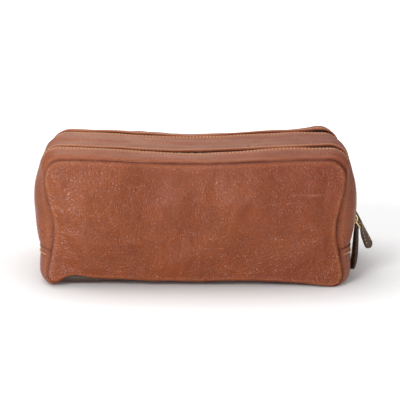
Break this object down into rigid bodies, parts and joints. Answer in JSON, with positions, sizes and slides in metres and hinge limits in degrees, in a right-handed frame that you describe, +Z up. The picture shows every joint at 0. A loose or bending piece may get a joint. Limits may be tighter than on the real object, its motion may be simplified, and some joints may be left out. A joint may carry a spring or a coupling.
{
  "type": "shaving kit bag",
  "caption": "Soft tan leather wash bag with two zipped compartments, brass zips and dark leather pulls.",
  "frame": {"origin": "on the resting plane, under the middle of the bag's base", "axes": "+Z up, +X along the bag to the end that carries the zip pulls, the front panel faces -Y"},
  "size_m": [0.277, 0.128, 0.11],
  "materials": {
    "tan_leather": "pebbled, semi-gloss",
    "dark_leather": "smooth, painted edges",
    "lining_cloth": "plain woven twill",
    "zip_tape": "ribbed woven tape",
    "brass": "polished",
    "stiffener": "matt sheet"
  },
  "bodies": {
    "bag": {"front_panel": "tan_leather", "back_panel": "tan_leather", "front_zip_strip": "tan_leather", "centre_strip": "tan_leather", "back_zip_strip": "tan_leather", "base_band": "tan_leather", "base_board": "stiffener", "divider": "lining_cloth", "front_panel_lining": "lining_cloth", "back_panel_lining": "lining_cloth", "front_base_lining": "lining_cloth", "back_base_lining": "lining_cloth", "front_strip_lining": "lining_cloth", "centre_strip_lining": "lining_cloth", "back_strip_lining": "lining_cloth", "front_seam_binding": "zip_tape", "back_seam_binding": "zip_tape", "front_zip_outer_tape": "zip_tape", "front_zip_inner_tape": "zip_tape", "front_zip_outer_teeth": "brass", "front_zip_inner_teeth": "brass", "front_zip_top_stops": "brass", "front_zip_bottom_stop": "brass", "back_zip_outer_tape": "zip_tape", "back_zip_inner_tape": "zip_tape", "back_zip_outer_teeth": "brass", "back_zip_inner_teeth": "brass", "back_zip_top_stops": "brass", "back_zip_bottom_stop": "brass"},
    "front_slider_body": {"front_slider": "brass"},
    "front_ring_body": {"front_pull_ring": "brass"},
    "front_pull_body": {"front_leather_pull": "dark_leather"},
    "back_slider_body": {"back_slider": "brass"},
    "back_ring_body": {"back_pull_ring": "brass"},
    "back_pull_body": {"back_leather_pull": "dark_leather"}
  },
  "joints": [
    {"name": "front_slider_travel", "type": "hinge", "parent": "bag", "child": "front_slider_body", "pos_m": [0.0175, -0.031, 0.062], "axis": [0, -1, 0], "range_deg": [-2, 14]},
    {"name": "front_ring_swing", "type": "hinge", "parent": "front_slider_body", "child": "front_ring_body", "pos_m": [0.13119, -0.031, 0.04843], "axis": [0, -1, 0], "range_deg": [0, 70]},
    {"name": "front_pull_swing", "type": "hinge", "parent": "front_ring_body", "child": "front_pull_body", "pos_m": [0.13487, -0.031, 0.04319], "axis": [0, -1, 0], "range_deg": [0, 60]},
    {"name": "back_slider_travel", "type": "hinge", "parent": "bag", "child": "back_slider_body", "pos_m": [0.0175, 0.031, 0.062], "axis": [0, -1, 0], "range_deg": [-2, 14]},
    {"name": "back_ring_swing", "type": "hinge", "parent": "back_slider_body", "child": "back_ring_body", "pos_m": [0.13119, 0.031, 0.04843], "axis": [0, -1, 0], "range_deg": [0, 70]},
    {"name": "back_pull_swing", "type": "hinge", "parent": "back_ring_body", "child": "back_pull_body", "pos_m": [0.13487, 0.031, 0.04319], "axis": [0, -1, 0], "range_deg": [0, 60]}
  ]
}
